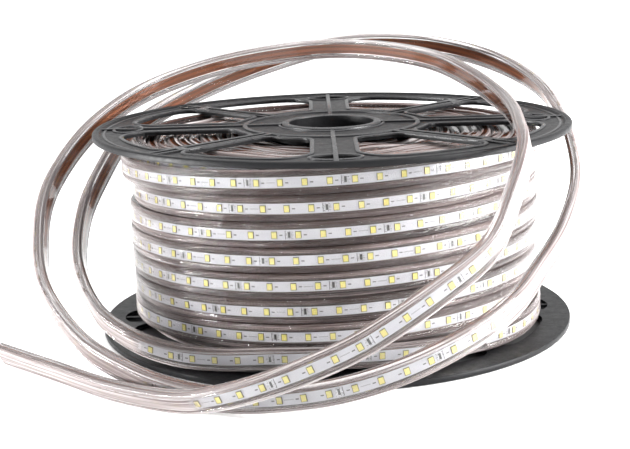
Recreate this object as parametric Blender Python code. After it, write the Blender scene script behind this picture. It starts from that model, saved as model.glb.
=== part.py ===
"""A reel of flat clear LED rope light: a moulded spool, the wound strip and its loose end.

Metres, +Z up. The origin is on the spool's axis, in the plane that the spool stands on.
"""

import math

import bmesh
import bpy
from mathutils import Matrix, Vector

mm = 0.001

# Strip
STRIP_WIDTH = 16.5 * mm
STRIP_THICKNESS = 8.0 * mm

# Winding
ROW_COUNT = 8
LAYER_COUNT = 13
SIDE_FLATTENING = 6.7 * mm
WINDING_TILT = 3.6 * mm
TURNS_TO_TOP = 6.958
TURNS_TO_SETTLE = 1 / 6
TUCK_FROM = 0.1
TUCK_LENGTH = 0.2
RECESS_LEVEL_FROM = 0.79
RECESS_SLOPE = 108.0 * mm
GROOVE_DEPTH = 2.4 * mm
GROOVE_WIDTH = 4.6 * mm

# Spool
CORE_RADIUS = 60.0 * mm
CORE_WALL = 3.0 * mm
FLANGE_RADIUS = 185.0 * mm
FLANGE_PLATE = 2.8 * mm
RIM_HEIGHT = 4.3 * mm
RIM_WIDTH = 4.5 * mm
SPOOL_HEIGHT = 157.2 * mm
HUB_BORE_RADIUS = 33.0 * mm
HUB_WALL = 5.5 * mm
HUB_SLEEVE = 24.0 * mm

# Flange windows
WINDOW_TO_RING = 8.5 * mm
WINDOW_TO_RIM = 15.5 * mm
CARDINAL_SPOKE_WIDTH = 31.0 * mm
DIAGONAL_SPOKE_WIDTH = 13.0 * mm
WINDOW_INNER_FILLET = 11.0 * mm
WINDOW_RIM_FILLET = 13.0 * mm
WINDOW_EYE_FILLET = 24.0 * mm
EYE_INSET = 6.0 * mm
EYE_RADIAL = 22.0 * mm
EYE_ACROSS = 36.0 * mm

# Flange ribs
RIB_WIDTH = 3.0 * mm
RIB_HEIGHT = 1.2 * mm
RIB_SPACING = 8.0 * mm
HUB_RING_HEIGHT = 0.9 * mm
HUB_RING_RADIUS = 67.5 * mm

# Clearances
FIT_GAP = 0.3 * mm
FLANGE_CLEARANCE = 0.8 * mm
LEAVING_TURN_CLEARANCE = 2.0 * mm
LEAVING_TURN_HEADROOM = 3.9 * mm
SPLICE_GAP = 0.8 * mm

# How finely round shapes are faceted
FLANGE_SEGMENTS = 80
CORE_SEGMENTS = 48
COIL_SEGMENTS = 60
ARC_STEPS = 5
MERGE_DISTANCE = 1e-6

SPOKE_ANGLE = math.radians(45.0)
SPOKE_COUNT = 8

# Worked out from the above
WINDOW_INNER_RADIUS = HUB_RING_RADIUS + WINDOW_TO_RING
WINDOW_OUTER_RADIUS = FLANGE_RADIUS - RIM_WIDTH - WINDOW_TO_RIM
EYE_RADIUS = WINDOW_OUTER_RADIUS - EYE_INSET
COIL_INNER_RADIUS = CORE_RADIUS + FIT_GAP
COIL_OUTER_RADIUS = COIL_INNER_RADIUS + LAYER_COUNT * STRIP_THICKNESS
COIL_BOTTOM = RIM_HEIGHT + FLANGE_CLEARANCE
COIL_TOP = SPOOL_HEIGHT - RIM_HEIGHT - FLANGE_CLEARANCE
ROW_PITCH = (COIL_TOP - COIL_BOTTOM - STRIP_WIDTH - LEAVING_TURN_HEADROOM) / (ROW_COUNT - 1)

# The loose strip's route, in millimetres, chosen by hand: x, y, z of the middle of the strip, and
# its lean in degrees. It starts in the bottom row, makes two tilted hoops round the spool and
# ends on the floor.
LOOSE_ROUTE = [
    (102, -123, 15, 0), (67, -146, 16, 0), (28, -159, 17, 0), (-14, -161, 17, 0),
    (-50, -157, 16, 0), (-85, -149, 14, 0), (-118, -137, 15, 0), (-150, -119, 22, -2),
    (-177, -90, 34.5, -10), (-195, -50, 59.5, -24), (-198.5, 1, 87, -24), (-190, 50, 112, -18),
    (-175.5, 95, 134.5, -8), (-146, 130, 153, -2), (-101, 165, 171, 0), (-50, 188, 186.5, 0),
    (0, 187, 199, 0), (45, 175, 203, 0), (96, 158, 200, 4), (144, 134, 188, 12),
    (177, 92, 170, 22), (189, 48, 149, 20), (190, 0, 126, 12), (182, -50, 106.5, 5),
    (161.5, -106, 87, 0), (136.5, -155, 72, 0), (112, -199, 60.5, 0), (80, -228, 48.5, 0),
    (40, -245, 35, 0), (0, -247, 23.5, 0), (-38, -237, 15, 0), (-75, -221, 9.5, 0),
    (-110, -205, 11, 0), (-142, -184, 17, 0), (-177.5, -157, 31, -2), (-208, -115, 57, -10),
    (-221, -62, 83.5, -20), (-222, -10, 111, -16), (-205, 42, 140, -8), (-180.5, 82, 160.5, -2),
    (-147.5, 115, 176, 0), (-96, 139, 190, 0), (-42, 150, 198, 0), (4, 148, 201, 0),
    (48, 124, 200, 0), (88, 85, 194.5, 0), (114, 40, 184, 0), (128.5, -20, 174.5, 3),
    (130.5, -80, 171, 9), (127, -135, 168, 11), (123.5, -176, 159, 12), (110.5, -212, 137, 6),
    (92, -238, 109, 0), (56, -256, 85, 0), (15, -263, 60, 0), (-18, -262, 44, 0),
    (-50, -254, 30, 0), (-80, -240, 18, 0), (-108, -223, 10.5, 0), (-154, -191, 8.6, 0),
    (-200, -147, 8.6, 0), (-246, -103, 8.6, 0),
]
LOOSE_POINT_COUNT = 78


def clear_scene():
    for existing in list(bpy.data.objects):
        bpy.data.objects.remove(existing, do_unlink=True)


def make_material(name, colour, roughness, transmission=0.0, alpha=1.0):
    material = bpy.data.materials.new(name)
    material.use_nodes = True
    shader = material.node_tree.nodes["Principled BSDF"]
    shader.inputs["Base Color"].default_value = (*colour, 1.0)
    shader.inputs["Roughness"].default_value = roughness
    shader.inputs["Metallic"].default_value = 0.0
    shader.inputs["Transmission Weight"].default_value = transmission
    shader.inputs["Alpha"].default_value = alpha
    return material


def add_object(name, mesh, material=None):
    thing = bpy.data.objects.new(name, mesh)
    bpy.context.scene.collection.objects.link(thing)
    if material:
        mesh.materials.append(material)
    return thing


def turned_mesh(name, profile, segments):
    """A closed outline of (radius, height) points, spun once round the Z axis."""
    bm = bmesh.new()
    outline = [bm.verts.new((radius, 0.0, height)) for radius, height in profile]
    edges = [bm.edges.new((a, b)) for a, b in zip(outline, outline[1:] + outline[:1])]
    bmesh.ops.spin(bm, geom=outline + edges, cent=(0, 0, 0), axis=(0, 0, 1),
                   angle=math.tau, steps=segments, use_merge=True)
    bmesh.ops.remove_doubles(bm, verts=bm.verts, dist=MERGE_DISTANCE)
    bmesh.ops.rotate(bm, verts=bm.verts, cent=(0, 0, 0),
                     matrix=Matrix.Rotation(math.pi / segments, 3, "Z"))
    bmesh.ops.recalc_face_normals(bm, faces=bm.faces)
    mesh = bpy.data.meshes.new(name)
    bm.to_mesh(mesh)
    bm.free()
    mesh.shade_smooth()
    mesh.set_sharp_from_angle(angle=math.radians(30))
    return mesh


def prisms_mesh(name, outlines, bottom, top):
    """Outlines of (x, y) points, each extruded from one height to another."""
    bm = bmesh.new()
    for outline in outlines:
        face = bm.faces.new([bm.verts.new((x, y, bottom)) for x, y in outline])
        walls = bmesh.ops.extrude_face_region(bm, geom=[face])
        raised = [item for item in walls["geom"] if isinstance(item, bmesh.types.BMVert)]
        bmesh.ops.translate(bm, verts=raised, vec=(0, 0, top - bottom))
    bmesh.ops.recalc_face_normals(bm, faces=bm.faces)
    mesh = bpy.data.meshes.new(name)
    bm.to_mesh(mesh)
    bm.free()
    return mesh


def combine(target, guide_mesh, operation):
    """Leave a live Boolean on the target, with its guide as a hidden wire object."""
    guide = add_object(guide_mesh.name, guide_mesh)
    guide.hide_render = True
    guide.display_type = "WIRE"
    guide.parent = target
    boolean = target.modifiers.new(guide_mesh.name, "BOOLEAN")
    boolean.operation = operation
    boolean.object = guide


def spoke_point(angle, side, across, along):
    """A point given along a spoke's middle line and across it, on its left (1) or right (-1)."""
    forward = Vector((math.cos(angle), math.sin(angle)))
    sideways = Vector((-math.sin(angle), math.cos(angle))) * side
    return forward * along + sideways * across


def arc(centre, start, end, steps):
    """Points from start to end round centre, the short way, without the end itself."""
    first = math.atan2(start.y - centre.y, start.x - centre.x)
    last = math.atan2(end.y - centre.y, end.x - centre.x)
    sweep = (last - first + math.pi) % math.tau - math.pi
    radius = (start - centre).length
    return [centre + Vector((math.cos(first + sweep * i / steps),
                             math.sin(first + sweep * i / steps))) * radius
            for i in range(steps)]


def window_corner(angle, side, spoke_width, fillet, outer):
    """The fillet between a spoke's edge and a window's inner or outer arc."""
    across = spoke_width / 2 + fillet
    reach = WINDOW_OUTER_RADIUS - fillet if outer else WINDOW_INNER_RADIUS + fillet
    along = math.sqrt(reach ** 2 - across ** 2)
    centre = spoke_point(angle, side, across, along)
    on_spoke = spoke_point(angle, side, spoke_width / 2, along)
    arc_radius = WINDOW_OUTER_RADIUS if outer else WINDOW_INNER_RADIUS
    on_arc = centre * (arc_radius / reach)
    return centre, on_spoke, on_arc


def window_outline(index):
    """The rounded opening between one spoke and the next, counter-clockwise."""
    start = index * SPOKE_ANGLE
    end = start + SPOKE_ANGLE
    start_is_cardinal = index % 2 == 0
    widths = (CARDINAL_SPOKE_WIDTH, DIAGONAL_SPOKE_WIDTH)
    fillets = (WINDOW_EYE_FILLET, WINDOW_RIM_FILLET)
    if not start_is_cardinal:
        widths = widths[::-1]
        fillets = fillets[::-1]
    inner_start = window_corner(start, 1, widths[0], WINDOW_INNER_FILLET, False)
    outer_start = window_corner(start, 1, widths[0], fillets[0], True)
    outer_end = window_corner(end, -1, widths[1], fillets[1], True)
    inner_end = window_corner(end, -1, widths[1], WINDOW_INNER_FILLET, False)
    middle = Vector((0.0, 0.0))
    points = arc(inner_start[0], inner_start[2], inner_start[1], ARC_STEPS)
    points += [inner_start[1]]
    points += arc(outer_start[0], outer_start[1], outer_start[2], ARC_STEPS)
    points += arc(middle, outer_start[2], outer_end[2], ARC_STEPS)
    points += arc(outer_end[0], outer_end[2], outer_end[1], ARC_STEPS)
    points += [outer_end[1]]
    points += arc(inner_end[0], inner_end[1], inner_end[2], ARC_STEPS)
    points += arc(middle, inner_end[2], inner_start[2], ARC_STEPS)
    return points


def eye_outline(angle):
    """The small oval opening near the rim, at a wide spoke's end."""
    steps = 4 * ARC_STEPS
    points = []
    for step in range(steps):
        turn = math.tau * step / steps
        along = EYE_RADIUS + EYE_RADIAL / 2 * math.cos(turn)
        points.append(spoke_point(angle, 1, EYE_ACROSS / 2 * math.sin(turn), along))
    return points


def box_outline(angle, offset, width, start, end):
    """A long rectangle along a spoke, its middle line set off to one side."""
    return [spoke_point(angle, 1, offset - width / 2, start),
            spoke_point(angle, 1, offset - width / 2, end),
            spoke_point(angle, 1, offset + width / 2, end),
            spoke_point(angle, 1, offset + width / 2, start)]


def flange_profile():
    """Half section of a flange whose winding side is at height 0 and outer side faces up."""
    hub_outer = HUB_BORE_RADIUS + HUB_WALL
    ring = RIB_WIDTH / 2
    plate = FLANGE_PLATE
    return [
        (HUB_BORE_RADIUS, -HUB_SLEEVE), (hub_outer, -HUB_SLEEVE), (hub_outer, 0.0),
        (FLANGE_RADIUS, 0.0), (FLANGE_RADIUS, RIM_HEIGHT), (FLANGE_RADIUS - RIM_WIDTH, RIM_HEIGHT),
        (FLANGE_RADIUS - RIM_WIDTH - RIM_HEIGHT + plate, plate), (HUB_RING_RADIUS + ring, plate),
        (HUB_RING_RADIUS + ring, plate + HUB_RING_HEIGHT),
        (HUB_RING_RADIUS - ring, plate + HUB_RING_HEIGHT),
        (HUB_RING_RADIUS - ring, plate), (hub_outer, plate), (hub_outer, RIM_HEIGHT),
        (HUB_BORE_RADIUS, RIM_HEIGHT),
    ]


def make_flange(name, outer_side_up, material):
    """A moulded disc with eight windows, four oval eyes, ribs, a rim and a hub sleeve."""
    flange = add_object(name, turned_mesh(name, flange_profile(), FLANGE_SEGMENTS), material)
    openings = [window_outline(index) for index in range(SPOKE_COUNT)]
    openings += [eye_outline(index * SPOKE_ANGLE) for index in range(0, SPOKE_COUNT, 2)]
    rib_end = FLANGE_RADIUS - RIM_WIDTH / 2
    ribs = []
    for index in range(SPOKE_COUNT):
        angle = index * SPOKE_ANGLE
        if index % 2 == 0:
            hub_middle = HUB_BORE_RADIUS + HUB_WALL / 2
            ribs.append(box_outline(angle, 0.0, RIB_WIDTH, hub_middle, rib_end))
        else:
            for offset in (-RIB_SPACING / 2, RIB_SPACING / 2):
                ribs.append(box_outline(angle, offset, RIB_WIDTH, HUB_RING_RADIUS, rib_end))
    combine(flange, prisms_mesh(f"{name}_openings", openings, -RIM_HEIGHT, 2 * RIM_HEIGHT),
            "DIFFERENCE")
    combine(flange, prisms_mesh(f"{name}_ribs", ribs, FLANGE_PLATE / 4, FLANGE_PLATE + RIB_HEIGHT),
            "UNION")
    if outer_side_up:
        flange.location.z = SPOOL_HEIGHT - RIM_HEIGHT
    else:
        flange.rotation_euler.x = math.pi
        flange.location.z = RIM_HEIGHT
    return flange


def make_core(material):
    """The plain tube between the flanges that the strip is wound on."""
    bottom = RIM_HEIGHT + FIT_GAP
    top = SPOOL_HEIGHT - RIM_HEIGHT - FIT_GAP
    inner = CORE_RADIUS - CORE_WALL
    profile = [(inner, bottom), (CORE_RADIUS, bottom), (CORE_RADIUS, top), (inner, top)]
    return add_object("core_barrel", turned_mesh("core_barrel", profile, CORE_SEGMENTS), material)


def coil_radius(angle):
    """Outside radius of the winding, which is fullest at the front."""
    front = max(0.0, -math.sin(angle))
    return COIL_OUTER_RADIUS - SIDE_FLATTENING * (1.0 - front * (2.0 - front))


def row_height(turns):
    """Mid height of the outer strand, counted in turns from the end that leaves the spool."""
    angle = math.atan2(LOOSE_ROUTE[0][1], LOOSE_ROUTE[0][0]) + math.tau * turns
    end_angle = angle + math.tau * (TURNS_TO_TOP - turns)
    top = COIL_TOP - STRIP_WIDTH / 2
    height = (top + ROW_PITCH * (turns - TURNS_TO_TOP)
              + WINDING_TILT * (math.cos(angle) - math.cos(end_angle)))
    if turns < TURNS_TO_SETTLE:
        share = turns / TURNS_TO_SETTLE
        height = LOOSE_ROUTE[0][2] * mm * (1.0 - share) + height * share
    return min(height, top)


def coil_profile(turn, angle):
    """Half section of the winding at a share of a turn from the leaving end of the strand."""
    half = GROOVE_WIDTH / 2
    outer = coil_radius(angle)
    under = outer - STRIP_THICKNESS
    recess = under - LEAVING_TURN_CLEARANCE
    end_grooves = [COIL_INNER_RADIUS + layer * STRIP_THICKNESS for layer in range(2, LAYER_COUNT - 1, 2)]
    points = [(COIL_INNER_RADIUS, COIL_BOTTOM)]
    for radius in end_grooves:
        points += [(radius - half, COIL_BOTTOM), (radius, COIL_BOTTOM + GROOVE_DEPTH),
                   (radius + half, COIL_BOTTOM)]
    edge = ROW_PITCH / 2 - half
    leaving_top = COIL_BOTTOM + STRIP_WIDTH + LEAVING_TURN_HEADROOM + FLANGE_CLEARANCE
    over_leaving = leaving_top - RECESS_SLOPE * max(0.0, RECESS_LEVEL_FROM - turn)
    lower = max(row_height(turn) - edge, over_leaving)
    points += [(recess, COIL_BOTTOM), (recess, row_height(0.0) - edge), (recess, lower)]
    for row in range(ROW_COUNT - 1):
        height, above = row_height(row + turn), row_height(row + 1 + turn)
        points += [(outer, lower), (outer, height + edge)]
        lower = above - edge
        points.append((outer - GROOVE_DEPTH, (height + edge + lower) / 2))
    tuck = min(1.0, max(0.0, (turn - TUCK_FROM) / TUCK_LENGTH))
    ledge = height + STRIP_WIDTH / 2
    points.pop()
    lower = max(lower, height + edge + half)
    groove = (height + edge + lower) / 2
    points[-1] = (outer, (height + edge) * (1.0 - tuck) + ledge * tuck)
    points += [(outer - GROOVE_DEPTH * (1.0 - tuck) - STRIP_THICKNESS * tuck, groove * (1.0 - tuck) + ledge * tuck),
               (outer - STRIP_THICKNESS * tuck, lower * (1.0 - tuck) + ledge * tuck),
               (outer - STRIP_THICKNESS * tuck, COIL_TOP), (under, COIL_TOP)]
    for radius in reversed(end_grooves):
        points += [(radius + half, COIL_TOP), (radius, COIL_TOP - GROOVE_DEPTH),
                   (radius - half, COIL_TOP)]
    points.append((COIL_INNER_RADIUS, COIL_TOP))
    return points


def make_coil(material):
    """The winding: its outer strand climbs from the floor end to the top flange and tucks in."""
    start = math.atan2(LOOSE_ROUTE[0][1], LOOSE_ROUTE[0][0]) + SPLICE_GAP / COIL_OUTER_RADIUS
    profiles = []
    for step in range(COIL_SEGMENTS + 1):
        turn = step / COIL_SEGMENTS
        angle = start + math.tau * turn
        profiles.append([(radius * math.cos(angle), radius * math.sin(angle), height)
                         for radius, height in coil_profile(turn, angle)])
    sides = len(profiles[0])
    bm = bmesh.new()
    grid = bmesh.ops.create_grid(bm, x_segments=COIL_SEGMENTS, y_segments=sides, size=1.0)
    for vert in grid["verts"]:
        step = round((vert.co.x + 1.0) / 2 * COIL_SEGMENTS)
        side = round((vert.co.y + 1.0) / 2 * sides) % sides
        vert.co = profiles[step][side]
    bmesh.ops.remove_doubles(bm, verts=bm.verts, dist=MERGE_DISTANCE)
    bmesh.ops.dissolve_degenerate(bm, edges=bm.edges, dist=MERGE_DISTANCE)
    bmesh.ops.holes_fill(bm, edges=[edge for edge in bm.edges if edge.is_boundary], sides=0)
    bmesh.ops.recalc_face_normals(bm, faces=bm.faces)
    mesh = bpy.data.meshes.new("wound_strip")
    bm.to_mesh(mesh)
    bm.free()
    mesh.shade_smooth()
    mesh.set_sharp_from_angle(angle=math.radians(30))
    return add_object("wound_strip", mesh, material)


def smooth_route(route, count):
    """Evenly spaced (x, y, z, lean) points on a smooth curve through the route's own points."""
    fine = []
    padded = [route[0]] + list(route) + [route[-1]]
    steps = 24
    for before, start, end, after in zip(padded, padded[1:], padded[2:], padded[3:]):
        for step in range(steps):
            t = step / steps
            weights = (-t ** 3 + 2 * t ** 2 - t, 3 * t ** 3 - 5 * t ** 2 + 2,
                       -3 * t ** 3 + 4 * t ** 2 + t, t ** 3 - t ** 2)
            fine.append(Vector([sum(w * p[axis] for w, p in zip(weights, (before, start, end, after)))
                                / 2 for axis in range(4)]))
    fine.append(Vector(route[-1]))
    travelled = [0.0]
    for a, b in zip(fine, fine[1:]):
        travelled.append(travelled[-1] + (b.xyz - a.xyz).length)
    points = []
    segment = 0
    for number in range(count):
        wanted = travelled[-1] * number / (count - 1)
        while segment < len(fine) - 2 and travelled[segment + 1] < wanted:
            segment += 1
        share = (wanted - travelled[segment]) / (travelled[segment + 1] - travelled[segment])
        points.append(fine[segment].lerp(fine[segment + 1], share))
    return points


def make_loose_strip(material):
    """The unwound end: a flat section swept along its route, standing on its edge."""
    curve = bpy.data.curves.new("loose_strip", "CURVE")
    curve.dimensions = "3D"
    curve.twist_mode = "Z_UP"
    curve.bevel_depth = STRIP_THICKNESS / 2
    curve.extrude = (STRIP_WIDTH - STRIP_THICKNESS) / 2
    curve.bevel_resolution = 2
    curve.render_resolution_u = 0
    curve.use_fill_caps = True
    spline = curve.splines.new("POLY")
    points = smooth_route(LOOSE_ROUTE, LOOSE_POINT_COUNT)
    spline.points.add(len(points) - 1)
    for target, point in zip(spline.points, points):
        target.co = (*(point.xyz * mm), 1.0)
        target.tilt = math.radians(point.w)
    strip = bpy.data.objects.new("loose_strip", curve)
    bpy.context.scene.collection.objects.link(strip)
    curve.materials.append(material)
    return strip


def build():
    clear_scene()
    black_plastic = make_material("black_plastic", (0.035, 0.035, 0.04), 0.45)
    clear_vinyl = make_material("clear_vinyl", (0.78, 0.74, 0.72), 0.12, 0.6)
    make_flange("lower_flange", False, black_plastic)
    make_core(black_plastic)
    make_coil(clear_vinyl)
    make_loose_strip(clear_vinyl)
    make_flange("upper_flange", True, black_plastic)


build()
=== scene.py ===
import math

import bmesh
import bpy
from mathutils import Matrix, Vector, noise


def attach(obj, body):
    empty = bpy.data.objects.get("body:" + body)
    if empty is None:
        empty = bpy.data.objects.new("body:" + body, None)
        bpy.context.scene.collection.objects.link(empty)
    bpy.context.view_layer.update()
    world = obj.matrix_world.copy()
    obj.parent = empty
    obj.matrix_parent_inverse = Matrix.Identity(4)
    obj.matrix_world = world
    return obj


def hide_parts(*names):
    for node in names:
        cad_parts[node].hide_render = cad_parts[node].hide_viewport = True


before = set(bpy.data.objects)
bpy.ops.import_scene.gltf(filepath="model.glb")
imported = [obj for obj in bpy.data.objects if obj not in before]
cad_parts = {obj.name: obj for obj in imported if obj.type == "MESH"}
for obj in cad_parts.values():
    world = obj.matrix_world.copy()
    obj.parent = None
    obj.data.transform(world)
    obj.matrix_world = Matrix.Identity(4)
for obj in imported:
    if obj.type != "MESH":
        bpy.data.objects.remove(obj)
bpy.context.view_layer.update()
scene = bpy.context.scene
mm = 0.001
print("stage: frame loaded")


# Shader maths: an expression on these adds the Math nodes it needs
class Term:
    def __init__(self, owner, socket):
        self.owner = owner
        self.socket = socket

    def calc(self, operation, *others):
        return self.owner.read("ShaderNodeMath", {"operation": operation}, dict(enumerate((self,) + others)), 0)

    def swapped(self, operation, other):
        return self.owner.read("ShaderNodeMath", {"operation": operation}, {0: other, 1: self}, 0)

    def __add__(self, other):
        return self.calc("ADD", other)

    def __sub__(self, other):
        return self.calc("SUBTRACT", other)

    def __mul__(self, other):
        return self.calc("MULTIPLY", other)

    def __truediv__(self, other):
        return self.calc("DIVIDE", other)

    def __radd__(self, other):
        return self.swapped("ADD", other)

    def __rsub__(self, other):
        return self.swapped("SUBTRACT", other)

    def __rmul__(self, other):
        return self.swapped("MULTIPLY", other)

    def __rtruediv__(self, other):
        return self.swapped("DIVIDE", other)

    def __lt__(self, other):
        return self.calc("LESS_THAN", other)

    def __gt__(self, other):
        return self.calc("GREATER_THAN", other)

    def __abs__(self):
        return self.calc("ABSOLUTE")

    def near(self, middle, reach):  # 1 where it is within reach of the middle, or else 0
        return abs(self - middle) < reach


class Nodes:
    def __init__(self, tree):
        self.tree = tree

    def feed(self, socket, value):
        if isinstance(value, Term):
            self.tree.links.new(value.socket, socket)
        else:
            socket.default_value = value

    def node(self, kind, settings, inputs):
        made = self.tree.nodes.new(kind)
        for key, value in settings.items():
            if key == "stops":  # of a colour ramp: (place, shade or colour)
                while len(made.color_ramp.elements) < len(value):
                    made.color_ramp.elements.new(1.0)
                for element, (place, shade) in zip(made.color_ramp.elements, value):
                    element.position = place
                    element.color = (shade, shade, shade, 1.0) if isinstance(shade, float) else (*shade, 1.0)
            else:
                setattr(made, key, value)
        for key, value in inputs.items():
            self.feed(made.inputs[key], value)
        return made

    def read(self, kind, settings, inputs, output):
        return Term(self, self.node(kind, settings, inputs).outputs[output])

    def objectPlace(self):
        return self.read("ShaderNodeTexCoord", {}, {}, "Object")

    def stripPlace(self):  # run along the strip and way round its section, both in metres
        place = self.read("ShaderNodeUVMap", {"uv_map": "strip"}, {}, "UV")
        split = self.node("ShaderNodeSeparateXYZ", {}, {0: place})
        return Term(self, split.outputs["X"]), Term(self, split.outputs["Y"])

    def axis(self, place, name):
        return self.read("ShaderNodeSeparateXYZ", {}, {0: place}, name)

    def join(self, x, y, z=0.0):
        return self.read("ShaderNodeCombineXYZ", {}, {"X": x, "Y": y, "Z": z}, 0)

    def speckle(self, place, scale, detail=2.0, roughness=0.5):
        return self.read("ShaderNodeTexNoise", {}, {"Vector": place, "Scale": scale, "Detail": detail,
                                                    "Roughness": roughness}, "Fac")

    def rise(self, value, start, end, low=0.0, high=1.0, kind="LINEAR"):  # low at start, high at end
        ends = {"From Min": start, "From Max": end, "To Min": low, "To Max": high}
        return self.read("ShaderNodeMapRange", {"interpolation_type": kind}, {"Value": value, **ends}, "Result")

    def ramp(self, value, stops):
        return self.read("ShaderNodeValToRGB", {"stops": stops}, {"Fac": value}, "Color")

    def mix(self, share, first, second):
        made = self.node("ShaderNodeMix", {"data_type": "RGBA"}, {0: share})
        for socket, value in ((made.inputs[6], first), (made.inputs[7], second)):
            self.feed(socket, value if isinstance(value, Term) else (*value, 1.0))
        return Term(self, made.outputs[2])


class Finish(Nodes):
    def __init__(self, name, **fixed):
        self.material = bpy.data.materials.new(name)
        self.material.use_nodes = True
        super().__init__(self.material.node_tree)
        self.shader = self.tree.nodes["Principled BSDF"]
        for key, value in fixed.items():  # Coat_Weight stands for the socket Coat Weight
            self.shader.inputs[key.replace("_", " ")].default_value = value

    def bump(self, height, strength, distance):
        normal = self.read("ShaderNodeBump", {}, {"Height": height, "Strength": strength, "Distance": distance},
                           "Normal")
        self.set("Normal", normal)

    def set(self, key, value):
        self.feed(self.shader.inputs[key], value)


# Camera, from the photograph's own perspective
cameraPlace = {"x": -0.01593, "y": -1.0469, "z": 0.3064, "pitch": 0.2173, "pan": 0.0007, "roll": -0.0305,
               "lens": 76.97, "sensor": 36.0, "nearest": 0.05}
sinPitch, cosPitch = math.sin(cameraPlace["pitch"]), math.cos(cameraPlace["pitch"])
sinPan, cosPan = math.sin(cameraPlace["pan"]), math.cos(cameraPlace["pan"])
forward = Vector((sinPan * cosPitch, cosPan * cosPitch, -sinPitch))
level = Vector((cosPan, -sinPan, 0.0))
upright = level.cross(forward)
rolledRight = math.cos(cameraPlace["roll"]) * level + math.sin(cameraPlace["roll"]) * upright
rolledUp = math.cos(cameraPlace["roll"]) * upright - math.sin(cameraPlace["roll"]) * level
cameraData = bpy.data.cameras.new("camera")
cameraData.lens = cameraPlace["lens"]
cameraData.sensor_width = cameraPlace["sensor"]
cameraData.clip_start = cameraPlace["nearest"]
camera = bpy.data.objects.new("camera", cameraData)
scene.collection.objects.link(camera)
turned = Matrix((rolledRight, rolledUp, -forward)).transposed().to_4x4()
camera.matrix_world = Matrix.Translation((cameraPlace["x"], cameraPlace["y"], cameraPlace["z"])) @ turned
scene.camera = camera
scene.view_settings.view_transform = "Standard"


def meshFrom(name, bm):
    mesh = bpy.data.meshes.new(name)
    bm.to_mesh(mesh)
    bm.free()
    return mesh


def addPiece(name, bm, *materials, smoothAngle=35.0):
    mesh = meshFrom(name, bm)
    for material in materials:
        mesh.materials.append(material)
    mesh.shade_smooth()
    mesh.set_sharp_from_angle(angle=math.radians(smoothAngle))
    piece = bpy.data.objects.new(name, mesh)
    scene.collection.objects.link(piece)
    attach(piece, "root")
    return piece


def standFor(node, *pieces):  # pieces of the strip, shown in place of a CAD node
    for piece in pieces:
        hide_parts(node)


# The flat strip, in section: across its width (up) and outward (the side with the diodes)
strip = {"width": 16.5 * mm, "thick": 8.0 * mm, "corner": 2.1 * mm, "cornerSteps": 4,
         "groove": ((4.9 * mm, 0.0), (5.2 * mm, 0.22 * mm), (5.5 * mm, 0.0)),  # (across, depth)
         "ledPitch": 1.0 / 60.0, "boardWidth": 7.7 * mm, "boardOut": 1.0 * mm, "boardThick": 0.35 * mm,
         "backWidth": 7.4 * mm, "backOut": -1.6 * mm, "backThick": 0.5 * mm, "wireAcross": 5.1 * mm,
         "wireRadius": 0.42 * mm, "wireOut": 0.2 * mm}


def jacketSection(grooved=True, wide=strip["width"], corner=strip["corner"], shoulder=strip["corner"]):
    halfWide, halfThick = wide / 2, strip["thick"] / 2
    face = [(across, halfThick - deep) for across, deep in strip["groove"]] if grooved else []
    for step in range(strip["cornerSteps"] + 1):
        turn = math.pi / 2 * step / strip["cornerSteps"]
        across = halfWide - shoulder + shoulder * math.sin(turn)
        face.append((across, halfThick - corner + corner * math.cos(turn)))
    outerFace = face[::-1] + [(-across, out) for across, out in face]  # from its top edge down
    return outerFace + [(-across, -out) for across, out in outerFace]  # then the inner face back up


def boxSection(wide, thick, out):
    half, inward, outward = wide / 2, out - thick / 2, out + thick / 2
    return [(half, inward), (half, outward), (-half, outward), (-half, inward)]


def roundSection(radius, across, out, steps):
    return [(across + radius * math.cos(math.tau * i / steps), out - radius * math.sin(math.tau * i / steps))
            for i in range(steps)]


def wireSections(out, steps=8):  # the two stranded wires, one on each side of the board
    return [roundSection(strip["wireRadius"], side * strip["wireAcross"], out, steps) for side in (1, -1)]


# A station is (middle, up, outward, run); up already has the strip's lean
def stationsAlong(points, step):  # a point is (x, y, z, lean in degrees)
    runs = [0.0]
    for a, b in zip(points, points[1:]):
        runs.append(runs[-1] + (b.xyz - a.xyz).length)
    count = max(2, round(runs[-1] / step))
    even, segment = [], 0
    for number in range(count + 1):
        wanted = runs[-1] * number / count
        while segment < len(points) - 2 and runs[segment + 1] < wanted:
            segment += 1
        share = (wanted - runs[segment]) / (runs[segment + 1] - runs[segment])
        even.append((points[segment].lerp(points[segment + 1], share), wanted))
    stations = []
    for number, (point, run) in enumerate(even):
        before, after = even[max(0, number - 1)][0], even[min(count, number + 1)][0]
        along = (after.xyz - before.xyz).normalized()
        up = (Vector((0, 0, 1)) - along * along.z).normalized()
        side = along.cross(up)
        lean = math.radians(point.w)
        leaned = up * math.cos(lean) + side * math.sin(lean)
        stations.append((point.xyz, leaned, -along.cross(leaned), run))
    return stations


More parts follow.
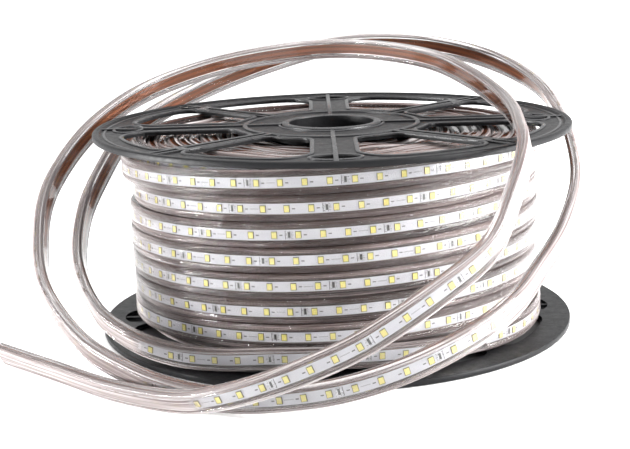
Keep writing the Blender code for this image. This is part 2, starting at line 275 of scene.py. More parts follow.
def sweep(bm, section, stations, layer):
    rings, sides = len(stations) - 1, len(section)
    wayRound = [0.0]
    for a, b in zip(section, section[1:] + section[:1]):
        wayRound.append(wayRound[-1] + math.hypot(b[0] - a[0], b[1] - a[1]))
    verts = bmesh.ops.create_grid(bm, x_segments=rings, y_segments=sides, size=1.0)["verts"]
    faces = {face for vert in verts for face in vert.link_faces}
    spot = {vert: (round((vert.co.x + 1) / 2 * rings), round((vert.co.y + 1) / 2 * sides)) for vert in verts}
    for face in faces:
        for loop in face.loops:
            i, j = spot[loop.vert]
            loop[layer].uv = (stations[i][3], wayRound[j])
    for vert, (i, j) in spot.items():
        middle, up, outward, run = stations[i]
        across, out = section[j % sides]
        vert.co = middle + up * across + outward * out
    bmesh.ops.remove_doubles(bm, verts=verts, dist=1e-6)
    faces = [face for face in faces if face.is_valid]
    rim = [edge for edge in {edge for face in faces for edge in face.edges} if edge.is_boundary]
    caps = bmesh.ops.holes_fill(bm, edges=rim, sides=0)["faces"]
    bmesh.ops.recalc_face_normals(bm, faces=faces + caps)


def facingOut(stations):  # for a route that turns counter-clockwise round the reel
    return [(middle, up, -outward, run) for middle, up, outward, run in stations]


def sweptPiece(name, sections, stations, material):
    bm = bmesh.new()
    layer = bm.loops.layers.uv.new("strip")
    for section in sections:
        sweep(bm, section, stations, layer)
    return addPiece(name, bm, material)


def addSpun(bm, ring, steps=160):  # ring: (radius, height) outline carried right round
    start = [bm.verts.new((radius, 0.0, height)) for radius, height in ring]
    edges = [bm.edges.new((a, b)) for a, b in zip(start, start[1:] + start[:1])]
    bmesh.ops.spin(bm, geom=start + edges, cent=(0, 0, 0), axis=(0, 0, 1), angle=math.tau, steps=steps,
                   use_merge=True)


# Finishes of the strip. The middles of the jacket's faces are ways round its section, the rest is how far
# from them something begins or ends
jacket = {"outerMiddle": 9.45 * mm, "innerMiddle": 32.15 * mm, "outerReach": 10.2 * mm, "faceReach": 9.7 * mm,
          "linesFrom": 3.9 * mm, "milkFrom": 4.2 * mm, "edge": 6.2 * mm}


def makeVinyl(name, hazeFrom, hazeTo, most, edgeHazeAndPaintedHighlight=0.5, wallHaze=0.0, tint=0.62, wavy=0.02, relief=0.12 * mm):
    vinyl = Finish(name, Roughness=0.05, IOR=1.45, Transmission_Weight=1.0)
    run, way = vinyl.stripPlace()
    drawn = vinyl.speckle(vinyl.join(run * 4.0, way * 1500.0), 1.0, 3.0, 0.6)  # lines left by the die
    haze = vinyl.speckle(vinyl.join(run * 90.0, way * 300.0), 1.0, 2.0)
    streak = vinyl.speckle(vinyl.join(run * 7.0, way * 620.0, 3.0), 1.0, 3.0, 0.65)
    fromOuter = abs(way - jacket["outerMiddle"])
    fromMiddle = fromOuter.calc("MINIMUM", abs(way - jacket["innerMiddle"]))
    edges = vinyl.rise(fromMiddle, jacket["linesFrom"], jacket["edge"])  # 0 over the board, 1 beside it
    darkLine, paleLine = (tint * 0.78, tint * 0.72, tint * 0.72), (tint * 1.2, tint * 1.18, tint * 1.18)
    tinted = vinyl.ramp(drawn, [(0.36, darkLine), (0.6, paleLine)])
    vinyl.set("Base Color", vinyl.mix(edges, (0.97, 0.965, 0.96), tinted))
    vinyl.bump((drawn * 0.4 + streak + haze * wavy) * (edges * 0.9 + 0.1), 1.0, relief)
    milkyTone = vinyl.ramp(streak, [(0.36, (0.075, 0.052, 0.049)), (0.48, (0.24, 0.20, 0.195)),
                                    (0.58, (0.37, 0.335, 0.33)), (0.68, (0.72, 0.71, 0.71))])
    milky = vinyl.read("ShaderNodeBsdfPrincipled", {},
                       {"Base Color": milkyTone, "Roughness": 0.4, "IOR": 1.35}, 0)
    slant = vinyl.read("ShaderNodeLayerWeight", {}, {"Blend": 0.5}, "Facing")
    slanted = vinyl.rise(slant, hazeFrom, hazeTo, 0.0, most, "SMOOTHSTEP") * (fromOuter < jacket["outerReach"])
    besideBoard = vinyl.rise(fromMiddle, jacket["milkFrom"], jacket["edge"])
    besideBoard = besideBoard * (fromMiddle < jacket["faceReach"]) * (streak * 0.8 + 0.6)
    walls = fromMiddle > jacket["faceReach"]
    # milkiness beside the board: vinyl haze, and on the inner turns also a painted highlight on the jacket's
    # corners
    milkiness = slanted.calc("MAXIMUM", besideBoard * edgeHazeAndPaintedHighlight).calc("MAXIMUM", walls * wallHaze)
    clear = Term(vinyl, vinyl.shader.outputs[0])
    both = vinyl.read("ShaderNodeMixShader", {}, {0: milkiness, 1: clear, 2: milky}, 0)
    vinyl.feed(vinyl.tree.nodes["Material Output"].inputs["Surface"], both)
    return vinyl.material


# Marks on the board: middle and half length along from a diode, then middle and half width across
marks = {"tick": (4.6 * mm, 1.1 * mm, 0.2 * mm, 0.42 * mm),
         "dashes": (10.2 * mm, 3.2 * mm, 0.1 * mm, 0.33 * mm),
         "upright": (7.7 * mm, 0.24 * mm, 0.0, 3.0 * mm), "pads": (10.3 * mm, 2.6 * mm, 0.0, 2.9 * mm),
         "cutEvery": 0.5, "cutLine": 0.35 * mm, "crossAt": 2.9 * mm, "crossLine": 0.36 * mm,
         "crossWide": 1.7 * mm, "crossLong": 1.8 * mm, "bareFrom": 3.6 * mm}


def makeBoard():
    board = Finish("whiteBoard", Roughness=0.38, Coat_Weight=0.25, Coat_Roughness=0.1)
    run, way = board.stripPlace()
    across = way - (strip["boardThick"] + strip["boardWidth"] / 2)  # zero on the outer face's middle
    number = (run / strip["ledPitch"]).calc("FLOOR")
    place = (run / strip["ledPitch"]).calc("FRACT") * strip["ledPitch"]

    def patch(mark):
        along, halfLong, aside, halfWide = marks[mark]
        return place.near(along, halfLong) * across.near(aside, halfWide)

    printed = ((run * 1700.0).calc("FRACT") < 0.6) * patch("dashes") * ((number / 3.0).calc("FRACT") < 0.3)
    grouped = ((number - 0.5) / 4.0).calc("FRACT") < 0.25  # where a chip resistor sits
    pads = (board.speckle(board.join(run * 1500.0, way * 1300.0, 2.0), 1.0, 1.0) > 0.56) * patch("pads")
    sinceCut = (run / marks["cutEvery"]).calc("FRACT") * marks["cutEvery"]
    half = marks["cutEvery"] / 2
    fromCross = abs(abs(sinceCut - half) - half) - marks["crossAt"]  # one each side of a cut
    cross = abs(abs(fromCross) - abs(across)) < marks["crossLine"]
    cross = cross * (abs(across) < marks["crossWide"]) * (abs(fromCross) < marks["crossLong"])
    mark = patch("tick").calc("MAXIMUM", printed * 0.7).calc("MAXIMUM", (sinceCut < marks["cutLine"]) * 0.8)
    mark = mark.calc("MAXIMUM", cross * 0.9)
    mark = mark.calc("MAXIMUM", patch("upright").calc("MAXIMUM", pads * 0.85) * grouped)
    tone = board.speckle(board.join(run * 40.0, way * 120.0), 1.0, 2.0)
    base = board.mix(tone, (0.60, 0.60, 0.65), (0.78, 0.78, 0.82))
    base = board.mix((abs(across) > marks["bareFrom"]) * 0.75, base, (0.16, 0.13, 0.12))
    board.set("Base Color", board.mix(mark * 0.85, base, (0.05, 0.045, 0.045)))
    return board.material


def makeCopper():
    copper = Finish("brownConductor", Metallic=0.25, Coat_Weight=0.2)
    run, way = copper.stripPlace()
    lines = copper.read("ShaderNodeTexWave", {"wave_type": "BANDS", "bands_direction": "Y"},
                        {"Vector": copper.join(run, way), "Scale": 78.0, "Distortion": 0.4, "Detail": 1.0,
                         "Detail Scale": 3.0}, "Fac")
    blotch = copper.speckle(copper.join(run * 25.0, way * 260.0), 1.0, 3.0)
    base = copper.mix(blotch, (0.15, 0.037, 0.010), (0.34, 0.108, 0.036))
    copper.set("Base Color", copper.mix(lines * lines * 0.65, base, (0.040, 0.014, 0.008)))
    copper.set("Roughness", blotch * 0.3 + 0.3)
    copper.bump(lines, 0.4, 0.2 * mm)
    return copper.material


def makeLayersAndPaintedShade():  # the layers seen through the clear edges, kept dark as painted shade from deep in the coil
    layersAndShade = Finish("layersUnderVinylPaintedShade", Specular_IOR_Level=0.3)
    run, way = layersAndShade.stripPlace()
    fine = layersAndShade.speckle(layersAndShade.join(run * 4.0, way * 640.0), 1.0, 3.0, 0.65)
    broad = layersAndShade.speckle(layersAndShade.join(run * 9.0, way * 330.0, 4.0), 1.0, 2.0)
    darkLines = layersAndShade.ramp(fine, [(0.38, 1.0), (0.47, 0.0)])
    paleLines = layersAndShade.ramp(fine, [(0.55, 0.0), (0.61, 1.0)])
    # painted shade: this dark mauve tone stands for the inner layers and the shade between the turns, not only
    # their own colour
    tone = layersAndShade.mix(broad, (0.022, 0.008, 0.006), (0.072, 0.036, 0.030))
    tone = layersAndShade.mix(darkLines, tone, (0.006, 0.004, 0.004))
    layersAndShade.set("Base Color", layersAndShade.mix(paleLines, tone, (0.40, 0.32, 0.31)))
    layersAndShade.set("Roughness", fine * 0.4 + 0.2)
    layersAndShade.bump(fine + broad, 0.5, 0.25 * mm)
    return layersAndShade.material


def makeWire():
    wire = Finish("strandedWire", Metallic=0.6, Roughness=0.3)
    run, way = wire.stripPlace()
    twist = wire.read("ShaderNodeTexWave", {"wave_type": "BANDS", "bands_direction": "DIAGONAL"},
                      {"Vector": wire.join(run, way), "Scale": 260.0, "Distortion": 2.5, "Detail": 2.0}, "Fac")
    glint = wire.speckle(wire.join(run * 700.0, way * 500.0), 1.0, 2.0)
    tone = wire.mix(glint, (0.045, 0.033, 0.03), (0.30, 0.25, 0.235))
    wire.set("Base Color", wire.mix(twist * 0.5, tone, (0.10, 0.075, 0.066)))
    wire.bump(twist + glint, 0.8, 0.2 * mm)
    return wire.material


def makePhosphor():
    glow = Finish("yellowPhosphor", Roughness=0.3, Coat_Weight=0.5)
    grain = glow.speckle(glow.objectPlace(), 1400.0, 2.0)
    glow.set("Base Color", glow.mix(grain, (0.80, 0.70, 0.13), (0.93, 0.86, 0.32)))
    return glow.material


def makePlain(name, dark, light, scale, **fixed):
    plain = Finish(name, **fixed)
    grain = plain.speckle(plain.objectPlace(), scale, 3.0)
    plain.set("Base Color", plain.mix(grain, dark, light))
    return plain.material


vinylFinish = makeVinyl("clearVinyl", hazeFrom=0.27, hazeTo=0.44, most=0.88, wallHaze=0.36)
woundVinyl = makeVinyl("woundVinyl", hazeFrom=0.3, hazeTo=0.85, most=0.5, edgeHazeAndPaintedHighlight=0.04, tint=0.8, wavy=0.35,
                       relief=1.6 * mm)
# its strong milky white at the edges is partly haze and partly a painted highlight on the corners
innerVinyl = makeVinyl("innerVinyl", hazeFrom=0.3, hazeTo=0.8, most=0.3, edgeHazeAndPaintedHighlight=0.8, tint=0.84)
boardFinish = makeBoard()
copperFinish = makeCopper()
wireFinish = makeWire()
layersAndShadeFinish = makeLayersAndPaintedShade()
phosphorFinish = makePhosphor()
# the diode case is partly its own brown and partly darkened as a painted shadow along its edge
diodeCaseAndShadow = makePlain("diodeCasePaintedShadow", (0.09, 0.062, 0.022), (0.22, 0.17, 0.07), 700.0, Roughness=0.4)
chipFinish = makePlain("blackChip", (0.012, 0.012, 0.013), (0.03, 0.03, 0.032), 900.0, Roughness=0.35,
                       Coat_Weight=0.4)
solderFinish = makePlain("tinnedEnds", (0.42, 0.42, 0.43), (0.66, 0.66, 0.67), 900.0, Metallic=0.8,
                         Roughness=0.3)
print("stage: strip finishes made")


# Diodes and chip resistors, each made once and set down along the board
diode = {"long": 4.0 * mm, "wide": 4.8 * mm, "tall": 1.3 * mm, "border": 0.3 * mm, "slope": 0.08 * mm,
         "sunk": 0.1 * mm, "out": 0.8 * mm}
chip = {"long": 1.7 * mm, "wide": 3.9 * mm, "tall": 0.7 * mm, "endAt": 1.1 * mm, "endLong": 0.5 * mm,
        "endTall": 0.6 * mm, "every": 4, "pastDiode": 0.62, "out": 0.4 * mm, "across": 0.1 * mm}


def diodeMesh():
    bm = bmesh.new()
    bmesh.ops.create_cube(bm, size=1.0)
    bmesh.ops.scale(bm, vec=(diode["long"], diode["wide"], diode["tall"]), verts=bm.verts)
    top = max(bm.faces, key=lambda face: face.calc_center_median().z)
    bmesh.ops.inset_individual(bm, faces=[top], thickness=diode["border"], depth=0.0)
    bmesh.ops.inset_individual(bm, faces=[top], thickness=diode["slope"], depth=-diode["sunk"])
    top.material_index = 1
    return meshFrom("diode", bm)


def chipMesh():
    bm = bmesh.new()
    ends = [(side * chip["endAt"], chip["endLong"], chip["endTall"], 1) for side in (1, -1)]
    for along, long, tall, slot in [(0.0, chip["long"], chip["tall"], 0)] + ends:
        made = bmesh.ops.create_cube(bm, size=1.0)["verts"]
        bmesh.ops.scale(bm, vec=(long, chip["wide"], tall), verts=made)
        bmesh.ops.translate(bm, vec=(along, 0, 0), verts=made)
        for face in {face for vert in made for face in vert.link_faces}:
            face.material_index = slot
    return meshFrom("chip", bm)


diodeShape, chipShape = diodeMesh(), chipMesh()


def stationAt(stations, run):
    span = (stations[-1][3] - stations[0][3]) / (len(stations) - 1)
    at = min(max((run - stations[0][3]) / span, 0.0), len(stations) - 1.001)
    index, share = int(at), at - int(at)
    a, b = stations[index], stations[index + 1]
    middle, up, outward = (a[i].lerp(b[i], share) for i in range(3))
    return middle, (b[0] - a[0]).normalized(), up.normalized(), outward.normalized()


def setDown(name, shape, stations, runs, out, across, *materials):
    bm = bmesh.new()
    for run in runs:
        middle, along, up, outward = stationAt(stations, run)
        first = len(bm.verts)
        bm.from_mesh(shape)
        bm.verts.ensure_lookup_table()
        place = Matrix((along, up, outward)).transposed().to_4x4()
        place.translation = middle + outward * out + up * across
        bmesh.ops.transform(bm, matrix=place, verts=bm.verts[first:])
    bmesh.ops.recalc_face_normals(bm, faces=bm.faces)
    return addPiece(name, bm, *materials, smoothAngle=20.0)


def dressStrip(label, stations, replaced, firstRun, lastRun, *inside):
    out, pitch = strip["boardOut"], strip["ledPitch"]
    boardSection = boxSection(strip["boardWidth"], strip["boardThick"], out)
    board = sweptPiece(label + "_board", [boardSection], stations, boardFinish)
    numbers = range(math.ceil(firstRun / pitch), int(lastRun / pitch))
    diodes = setDown(label + "_diodes", diodeShape, stations, [number * pitch for number in numbers],
                     out + diode["out"], 0.0, diodeCaseAndShadow, phosphorFinish)
    chipRuns = [(number + chip["pastDiode"]) * pitch for number in numbers[:-1] if number % chip["every"] == 1]
    chips = setDown(label + "_chips", chipShape, stations, chipRuns, out + chip["out"], chip["across"],
                    chipFinish, solderFinish)
    pieces = [board, diodes, chips] + list(inside)
    standFor(replaced, *pieces)
    return pieces


# The loose end: its route in metres, with its lean in degrees
looseRoute = [
    (0.102, -0.123, 0.015, 0), (0.067, -0.146, 0.016, 0), (0.028, -0.159, 0.017, 0),
    (-0.014, -0.161, 0.017, 0), (-0.05, -0.157, 0.016, 0), (-0.085, -0.149, 0.014, -2),
    (-0.118, -0.137, 0.015, -6), (-0.15, -0.119, 0.022, -14), (-0.177, -0.09, 0.0345, -18),
    (-0.195, -0.05, 0.0595, -18), (-0.1985, 0.001, 0.087, -14), (-0.19, 0.05, 0.112, -18),
    (-0.1755, 0.095, 0.1345, -8), (-0.146, 0.13, 0.153, -2), (-0.101, 0.165, 0.171, 0),
    (-0.05, 0.188, 0.1865, 0), (0, 0.187, 0.199, 0), (0.045, 0.175, 0.203, 0), (0.096, 0.158, 0.2, 4),
    (0.144, 0.134, 0.188, 12), (0.177, 0.092, 0.17, 22), (0.189, 0.048, 0.149, 20), (0.19, 0, 0.126, 12),
    (0.182, -0.05, 0.1065, 5), (0.1615, -0.106, 0.087, 0), (0.1365, -0.155, 0.072, 0),
    (0.112, -0.199, 0.0605, 0), (0.08, -0.228, 0.0485, 0), (0.04, -0.245, 0.035, 0), (0, -0.247, 0.0235, 0),
    (-0.038, -0.237, 0.015, 0), (-0.075, -0.221, 0.0095, -4), (-0.11, -0.205, 0.011, -8),
    (-0.142, -0.184, 0.017, -14), (-0.1775, -0.157, 0.031, -18), (-0.208, -0.115, 0.057, -18),
    (-0.221, -0.062, 0.0835, -16), (-0.222, -0.01, 0.111, -10), (-0.205, 0.042, 0.14, -8),
    (-0.1805, 0.082, 0.1605, -2), (-0.1475, 0.115, 0.176, 0), (-0.096, 0.139, 0.19, 0),
    (-0.042, 0.15, 0.198, 0), (0.004, 0.148, 0.201, 0), (0.048, 0.124, 0.2, 0), (0.088, 0.085, 0.1945, 0),
    (0.114, 0.04, 0.184, 0), (0.1285, -0.02, 0.1745, 3), (0.1305, -0.08, 0.171, 9),
    (0.127, -0.135, 0.168, 11), (0.1235, -0.176, 0.159, 12), (0.1105, -0.212, 0.137, 6),
    (0.092, -0.238, 0.109, 0), (0.056, -0.256, 0.085, 0), (0.015, -0.263, 0.06, 0),
    (-0.018, -0.262, 0.044, 0), (-0.05, -0.254, 0.03, -6), (-0.08, -0.24, 0.018, -16),
    (-0.108, -0.223, 0.0105, -26), (-0.154, -0.191, 0.0086, -30), (-0.2, -0.147, 0.0086, -30),
    (-0.246, -0.103, 0.0086, -28),
]


def smoothed(route, steps):
    fine = []
    padded = [route[0]] + list(route) + [route[-1]]
    for before, start, end, after in zip(padded, padded[1:], padded[2:], padded[3:]):
        for step in range(steps):
            t = step / steps
            weights = (-t ** 3 + 2 * t ** 2 - t, 3 * t ** 3 - 5 * t ** 2 + 2,
                       -3 * t ** 3 + 4 * t ** 2 + t, t ** 3 - t ** 2)
            fine.append(Vector([sum(w * p[axis] for w, p in zip(weights, (before, start, end, after))) / 2
                                for axis in range(4)]))
    fine.append(Vector(route[-1]))
    return fine


looseStations = stationsAlong(smoothed(looseRoute, 20), 4.0 * mm)
looseLength = looseStations[-1][3]
looseJacket = sweptPiece("loose_jacket", [jacketSection()], looseStations, vinylFinish)
standFor("loose_strip", looseJacket)
backSection = boxSection(strip["backWidth"], strip["backThick"], strip["backOut"])
looseBack = sweptPiece("loose_conductor", [backSection], looseStations, copperFinish)
looseWires = sweptPiece("loose_wires", wireSections(strip["wireOut"]), looseStations, wireFinish)
loosePieces = dressStrip("loose", looseStations, "loose_strip", 0.004, looseLength - 0.006, looseBack,
                         looseWires)
print("stage: loose strip made,", round(looseLength, 3), "m")


# The winding: one strand that climbs from the bottom row to the top flange, where it tucks in under the flange
winding = {"startAngle": -50.3, "startRadius": 159.9 * mm, "startHeight": 15.0 * mm, "settleTurn": 60.0,
           "startDip": 2.2 * mm, "startBulge": 1.6 * mm, "bulgeTurn": 100.0, "frontTurn": 309.7,
           "frontRow": 32.1 * mm, "rowPitch": 18.08 * mm, "tilt": 3.6 * mm, "topLimit": 144.3 * mm,
           "topEase": 6.0 * mm, "sideRadius": 157.6 * mm, "frontSwell": 6.4 * mm, "uneven": 0.7 * mm,
           "leftSwell": {6: 5.0 * mm, 5: -3.4 * mm, 4: 0.6 * mm, 3: 1.0 * mm, 2: 0.2 * mm, 1: -0.4 * mm},
           "leanMost": 5.5, "turns": 7.1, "turnsUnder": 0.75, "tuckTurns": 0.2, "tuckLayers": 0.62,
           "tuckLean": 8.0, "spiralFrom": 0.7, "layer": 8.0 * mm}


def windingPoint(turned):  # turned is in degrees, counter-clockwise from the start
    angle = math.radians(winding["startAngle"] + turned)
    row = turned / 360.0
    settle = min(1.0, turned / winding["settleTurn"])
    climb = winding["frontRow"] + winding["rowPitch"] * (turned - winding["frontTurn"]) / 360.0
    climb += winding["tilt"] * math.cos(angle)
    height = winding["startHeight"] * (1 - settle) + climb * settle
    ease = max(0.0, winding["topEase"] - abs(height - winding["topLimit"])) / 8
    height = min(height, winding["topLimit"] - ease) - winding["startDip"] * math.sin(math.pi * settle)
    front, left = max(0.0, -math.sin(angle)), max(0.0, -math.cos(angle)) ** 2
    outer = winding["sideRadius"] + winding["frontSwell"] * front ** 0.7
    outer += left * winding["leftSwell"].get(int(row), 0.0)
    outer += winding["uneven"] * noise.noise(Vector((math.cos(angle) * 1.5, math.sin(angle) * 1.5, row * 2.1)))
    radius = winding["startRadius"] * (1 - settle) + (outer - strip["thick"] / 2) * settle
    radius += winding["startBulge"] * math.sin(math.pi * min(1.0, turned / winding["bulgeTurn"]))
    under = max(0.0, turned - 360.0 * winding["turns"]) / 360.0
    tuck = min(1.0, under / winding["tuckTurns"])
    radius -= winding["layer"] * (tuck * winding["tuckLayers"] + max(0.0, under - winding["spiralFrom"]))
    lean = winding["leanMost"] * noise.noise(Vector((turned / 60.0, 3.1, 0.0))) - winding["tuckLean"] * tuck
    return Vector((radius * math.cos(angle), radius * math.sin(angle), height, -lean))


wound = {"wide": 17.5 * mm, "corner": 2.0 * mm, "shoulder": 4.0 * mm, "coreWide": 16.4 * mm,
         "coreThick": 4.6 * mm, "coreOut": -1.5 * mm, "wireOut": 1.1 * mm, "wireSteps": 6}
lastTurned = int(360 * (winding["turns"] + winding["turnsUnder"]))
windingPoints = [windingPoint(turned) for turned in range(0, lastTurned, 3)]
windingStations = facingOut(stationsAlong(windingPoints, 6.0 * mm))
woundSection = jacketSection(False, wound["wide"], wound["corner"], wound["shoulder"])
standFor("wound_strip", sweptPiece("wound_jacket", [woundSection], windingStations, woundVinyl))
coreSection = boxSection(wound["coreWide"], wound["coreThick"], wound["coreOut"])
windingCore = sweptPiece("wound_core", [coreSection], windingStations, layersAndShadeFinish)
windingWires = sweptPiece("wound_wires", wireSections(wound["wireOut"], wound["wireSteps"]), windingStations,
                          wireFinish)
dressStrip("wound", windingStations, "wound_strip", 0.006, windingStations[-1][3] - 0.01, windingCore,
           windingWires)
print("stage: outer rows made")


# The turns under the outer rows, seen through the windows: one flat spiral at each end of the spool
innerTurns = {"outerRadius": 150.0 * mm, "turns": 10.6, "startAngle": 100.0, "leanMost": 16.0,
              "coreWide": 13.6 * mm, "coreThick": 5.0 * mm}


def spiralPoints(height, dip):
    points = []
    for turned in range(0, int(360 * innerTurns["turns"]), 5):
        angle = math.radians(innerTurns["startAngle"] + turned)
        radius = innerTurns["outerRadius"] - winding["layer"] * turned / 360.0
        wave = noise.noise(Vector((math.cos(angle) * 2.2, math.sin(angle) * 2.2, turned / 500.0)))
        lean = noise.noise(Vector((math.cos(angle) * 1.7 + 5, math.sin(angle) * 1.7, turned / 600.0)))
        points.append(Vector((radius * math.cos(angle), radius * math.sin(angle),
                              height + dip * (wave - 0.6), innerTurns["leanMost"] * lean)))
    return points


for label, height, dip, coreFinish in (("top_turns", 143.2 * mm, 3.0 * mm, copperFinish),
                                       ("bottom_turns", 15.6 * mm, -2.6 * mm, layersAndShadeFinish)):
    stations = facingOut(stationsAlong(spiralPoints(height, dip), 10.0 * mm))
    coreSection = boxSection(innerTurns["coreWide"], innerTurns["coreThick"], 0.0)
    standFor("wound_strip", sweptPiece(label, [jacketSection(False)], stations, innerVinyl),
             sweptPiece(label + "_core", [coreSection], stations, coreFinish))

# The plain body between the two spirals
deepTurns = {"inner": 60.6 * mm, "outer": 148.8 * mm, "bottom": 24.0 * mm, "top": 133.0 * mm}


def makeDeepTurns():
    shade = Finish("deepTurns", Roughness=0.35, Coat_Weight=0.3, Coat_Roughness=0.2)
    height = shade.axis(shade.objectPlace(), "Z")
    lines = shade.speckle(shade.join(height * 900.0, 0.0), 1.0, 3.0, 0.7)
    shade.set("Base Color", shade.mix(lines, (0.10, 0.062, 0.055), (0.34, 0.25, 0.235)))
    shade.bump(lines, 0.5, 0.3 * mm)
    return shade.material


bm = bmesh.new()
addSpun(bm, [(deepTurns["inner"], deepTurns["bottom"]), (deepTurns["outer"], deepTurns["bottom"]),
             (deepTurns["outer"], deepTurns["top"]), (deepTurns["inner"], deepTurns["top"])], steps=120)
bmesh.ops.recalc_face_normals(bm, faces=bm.faces)
standFor("wound_strip", addPiece("deep_turns", bm, makeDeepTurns()))
print("stage: inner turns made")


# Moulded spool: the lips, ridges and clips on its flanges, with heights from the flange's inner face
spool = {"height": 157.2 * mm, "rimHeight": 4.3 * mm, "plate": 2.8 * mm, "windowIn": 76.0 * mm,
         "windowOut": 165.0 * mm, "wide": 31.0 * mm, "narrow": 13.0 * mm, "innerFillet": 11.0 * mm,
         "rimFillet": 13.0 * mm, "eyeFillet": 24.0 * mm, "eyeAt": 159.0 * mm, "eyeRadial": 22.0 * mm,
         "eyeAcross": 36.0 * mm, "eyeSteps": 24, "web": 3.0 * mm, "arcSteps": 10,
         "lipStep": 1.5 * mm}
# Ridges in mm: a bar is (middle along, middle across, long, wide, tall), a ring (radius, wide, tall)
ridges = {"wideSpoke": [(112.0, 0.0, 146.0, 3.4, 1.4)],
          "narrowSpoke": [(124.0, 4.0, 112.0, 2.6, 1.4), (124.0, -4.0, 112.0, 2.6, 1.4),
                          (152.0, 0.0, 7.0, 16.0, 1.3), (146.0, 7.5, 12.0, 2.4, 1.5),
                          (146.0, -7.5, 12.0, 2.4, 1.5)],
          "barUp": 0.63, "barBevel": 0.45, "windowLip": (3.0, -0.4, 1.15), "eyeLip": (2.4, -0.4, 1.1),
          "rings": [(176.4, 2.0, 0.7), (67.5, 3.6, 1.3), (40.6, 2.2, 0.9)], "ringFoot": -0.3,
          "boss": [(33.05, 3.9), (33.3, 4.6), (34.2, 5.0), (37.2, 5.0), (38.3, 4.6), (38.7, 3.9), (38.7, 2.6),
                   (33.05, 2.6)],
          "edge": [(181.2, 3.7), (181.6, 4.4), (182.5, 4.75), (183.9, 4.75), (184.9, 4.4), (185.4, 3.7),
                   (185.4, 0.5), (185.0, 0.1), (184.4, 0.1), (184.4, 3.2)],
          "plainFinishFrom": 181.0}


def makeSpoolPlastic(name, gloss, darkest, lightest, polish=0.1):
    black = Finish(name, Specular_IOR_Level=gloss)
    place = black.objectPlace()
    grain = black.speckle(place, 900.0, 3.0, 0.65)
    flow = black.speckle(place, 22.0, 3.0)
    worn = black.speckle(place, 160.0, 4.0, 0.7)
    darkest, lightest = (darkest, darkest, darkest * 1.1), (lightest, lightest, lightest * 1.1)
    black.set("Base Color", black.mix(flow, darkest, lightest))
    black.set("Roughness", grain * 0.25 + worn * 0.35 + polish)
    black.bump(grain + worn, 0.55, 0.2 * mm)
    return black.material


def spokePoint(angle, side, across, along):
    forwardWay = Vector((math.cos(angle), math.sin(angle)))
    sideWay = Vector((-math.sin(angle), math.cos(angle))) * side
    return forwardWay * along + sideWay * across


def arcPoints(centre, start, end):
    first = math.atan2(start.y - centre.y, start.x - centre.x)
    last = math.atan2(end.y - centre.y, end.x - centre.x)
    turn = (last - first + math.pi) % math.tau - math.pi
    radius = (start - centre).length
    angles = [first + turn * i / spool["arcSteps"] for i in range(spool["arcSteps"])]
    return [centre + radius * Vector((math.cos(angle), math.sin(angle))) for angle in angles]


def windowCorner(angle, side, width, fillet, outer):
    across = width / 2 + fillet
    reach = spool["windowOut"] - fillet if outer else spool["windowIn"] + fillet
    along = math.sqrt(reach ** 2 - across ** 2)
    centre = spokePoint(angle, side, across, along)
    arcRadius = spool["windowOut"] if outer else spool["windowIn"]
    return centre, spokePoint(angle, side, width / 2, along), centre * (arcRadius / reach)


def windowOutline(index):
    start, end = index * math.pi / 4, (index + 1) * math.pi / 4
    widths, fillets = (spool["wide"], spool["narrow"]), (spool["eyeFillet"], spool["rimFillet"])
    if index % 2:
        widths, fillets = widths[::-1], fillets[::-1]
    innerStart = windowCorner(start, 1, widths[0], spool["innerFillet"], False)
    outerStart = windowCorner(start, 1, widths[0], fillets[0], True)
    outerEnd = windowCorner(end, -1, widths[1], fillets[1], True)
    innerEnd = windowCorner(end, -1, widths[1], spool["innerFillet"], False)
    middle = Vector((0.0, 0.0))
    points = arcPoints(innerStart[0], innerStart[2], innerStart[1])
    points += arcPoints(outerStart[0], outerStart[1], outerStart[2])
    points += arcPoints(middle, outerStart[2], outerEnd[2])
    points += arcPoints(outerEnd[0], outerEnd[2], outerEnd[1])
    points += arcPoints(innerEnd[0], innerEnd[1], innerEnd[2])
    return points + arcPoints(middle, innerEnd[2], innerStart[2])


def eyeHalf(angle, side):
    points = []
    webTurn = math.asin(spool["web"] / spool["eyeAcross"])
    for step in range(spool["eyeSteps"] + 1):
        turn = side * (webTurn + step / spool["eyeSteps"] * (math.pi - 2 * webTurn))
        points.append(spokePoint(angle, 1, spool["eyeAcross"] / 2 * math.sin(turn),
                                 spool["eyeAt"] + spool["eyeRadial"] / 2 * math.cos(turn)))
    return points if side > 0 else points[::-1]


spoolFinish = makeSpoolPlastic("blackSpoolPlastic", 0.15, 0.004, 0.014)
# lips and ridges: their lighter colour is a painted highlight, their extra gloss is real
ridgeFinishWithPaintedHighlight = makeSpoolPlastic("ridgeSpoolPlasticPaintedHighlight", 0.5, 0.008, 0.026, polish=0.02)
for node in ("core_barrel", "upper_flange", "lower_flange"):
    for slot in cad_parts[node].material_slots:
        slot.material = spoolFinish


def domeSection(wide, low, high):  # a rounded ridge standing up, with its foot in the plate
    return [(low, -wide / 2), (high * 0.55, -wide / 2), (high * 0.88, -wide * 0.34), (high, -wide * 0.1),
            (high, wide * 0.1), (high * 0.88, wide * 0.34), (high * 0.55, wide / 2), (low, wide / 2)]


def addBar(bm, angle, along, across, *size):
    made = bmesh.ops.create_cube(bm, size=1.0)["verts"]
    bmesh.ops.scale(bm, vec=size, verts=made)
    middle = spokePoint(angle, 1, across, along)
    place = Matrix.Translation((middle.x, middle.y, spool["plate"] + ridges["barUp"] * mm))
    bmesh.ops.transform(bm, matrix=place @ Matrix.Rotation(angle, 4, "Z"), verts=made)
    edges = {edge for vert in made for edge in vert.link_edges}
    bmesh.ops.bevel(bm, geom=list(edges), offset=ridges["barBevel"] * mm, segments=2, profile=0.5,
                    affect="EDGES", material=-1)


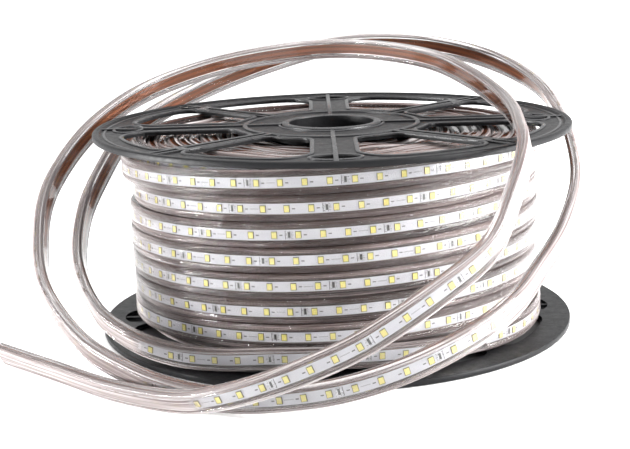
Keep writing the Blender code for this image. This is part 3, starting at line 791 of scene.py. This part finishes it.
def closedStations(points, height):  # round a flat closed outline, outward pointing to its left
    loop = [Vector((x, y, height, 0.0)) for x, y in points]
    stations = stationsAlong(loop + loop[:1], spool["lipStep"])
    first, last = stations[0], stations[-1]
    outward = (first[2] + last[2]).normalized()
    stations[0] = (first[0], first[1], outward, first[3])
    stations[-1] = (first[0], first[1], outward, last[3])
    return stations


def inMetres(numbers):
    return [number * mm for number in numbers]


def flangeDetail(label, upper):
    bm = bmesh.new()
    layer = bm.loops.layers.uv.new("strip")
    plate = spool["plate"]
    for index in range(8):
        for bar in ridges["narrowSpoke" if index % 2 else "wideSpoke"]:
            addBar(bm, index * math.pi / 4, *inMetres(bar))
    windowLip, eyeLip = (domeSection(*inMetres(ridges[lip])) for lip in ("windowLip", "eyeLip"))
    for index in range(8):
        sweep(bm, windowLip, closedStations(windowOutline(index), plate), layer)
        if index % 2 == 0:
            for side in (1, -1):
                half = [Vector((point.x, point.y, plate, 0.0)) for point in eyeHalf(index * math.pi / 4, side)]
                sweep(bm, eyeLip, stationsAlong(half, spool["lipStep"]), layer)
    for ring in ridges["rings"]:
        radius, wide, tall = inMetres(ring)
        dome = domeSection(wide, ridges["ringFoot"] * mm, tall)
        addSpun(bm, [(radius + out, plate + up) for up, out in dome])
    for outline in (ridges["boss"], ridges["edge"]):
        addSpun(bm, [inMetres(corner) for corner in outline])
    for vert in bm.verts:
        if upper:
            vert.co.z = vert.co.z + spool["height"] - spool["rimHeight"]
        else:
            vert.co.y, vert.co.z = -vert.co.y, spool["rimHeight"] - vert.co.z
    bmesh.ops.recalc_face_normals(bm, faces=bm.faces)
    for face in bm.faces:  # the rim's edge gets the plain finish, without the painted highlight
        face.material_index = int(face.calc_center_median().xy.length > ridges["plainFinishFrom"] * mm)
    piece = addPiece(label, bm, ridgeFinishWithPaintedHighlight, spoolFinish, smoothAngle=45.0)


for label, upper in (("upper_flange_ridges", True), ("lower_flange_ridges", False)):
    flangeDetail(label, upper)
print("stage: spool made")


# Floor and light, with the places where they change as (start, end); the floor's colour holds a painted shadow
# under the reel and its emission a painted glow, brighter to the right
stage = {"floorDown": 0.0006, "floor": 0.9, "paintedShadowUnderReel": 0.1, "glow": 0.42, "rightGlow": 1.3,
         "rightward": (0.04, 0.3), "shadeFades": (0.172, 0.186), "glowStarts": (0.18, 0.2), "front": 0.4,
         "back": 1.05, "frontToBack": (-0.5, 0.35)}


def grey(level):
    return (level,) * 3


bm = bmesh.new()
bmesh.ops.create_grid(bm, x_segments=1, y_segments=1, size=6.0)
floor = bpy.data.objects.new("floor", meshFrom("floor", bm))
floor.location.z = -stage["floorDown"]
scene.collection.objects.link(floor)
paleFloor = Finish("paleFloor", Roughness=0.6, Emission_Strength=1.0)
floorPlace = paleFloor.objectPlace()
fromAxis = paleFloor.read("ShaderNodeVectorMath", {"operation": "LENGTH"}, {0: floorPlace}, "Value")
toRight = paleFloor.rise(paleFloor.axis(floorPlace, "X"), *stage["rightward"])
glow = paleFloor.mix(toRight, grey(stage["glow"]), grey(stage["rightGlow"]))
pastShade = paleFloor.rise(fromAxis, *stage["shadeFades"])
# painted shadow: the floor's colour is dark under the reel
paleFloor.set("Base Color", paleFloor.mix(pastShade, grey(stage["paintedShadowUnderReel"]), grey(stage["floor"])))
pastReel = paleFloor.rise(fromAxis, *stage["glowStarts"])
# painted glow: the floor's emission grows brighter to the right and stops under the reel
paleFloor.set("Emission Color", paleFloor.mix(pastReel, grey(0.0), glow))
floor.data.materials.append(paleFloor.material)

scene.world = bpy.data.worlds.new("studio")
scene.world.use_nodes = True
sky = Nodes(scene.world.node_tree)
heading = sky.axis(sky.read("ShaderNodeTexCoord", {}, {}, "Generated"), "Y")
brightness = sky.rise(heading, *stage["frontToBack"], stage["front"], stage["back"], "SMOOTHSTEP")
background = sky.tree.nodes["Background"]
sky.feed(background.inputs["Strength"], brightness)
sky.feed(background.inputs["Color"], (1.0, 1.0, 1.0, 1.0))


def softbox(name, place, target, wide, tall, power):
    light = bpy.data.lights.new(name, "AREA")
    light.shape = "RECTANGLE"
    light.size, light.size_y = wide, tall
    light.energy = power
    lamp = bpy.data.objects.new(name, light)
    scene.collection.objects.link(lamp)
    lamp.location = place
    lamp.rotation_euler = (Vector(target) - Vector(place)).to_track_quat("-Z", "Y").to_euler()


softbox("overhead", (0.0, -0.1, 2.2), (0, 0, 0.0), 2.4, 2.0, 42.0)
softbox("leftStrip", (-1.4, -0.35, 0.24), (0, 0, 0.08), 0.75, 0.14, 42.0)
softbox("rightWash", (1.3, -0.45, 0.5), (0, 0, 0.08), 0.9, 1.3, 75.0)

print("stage: lit")
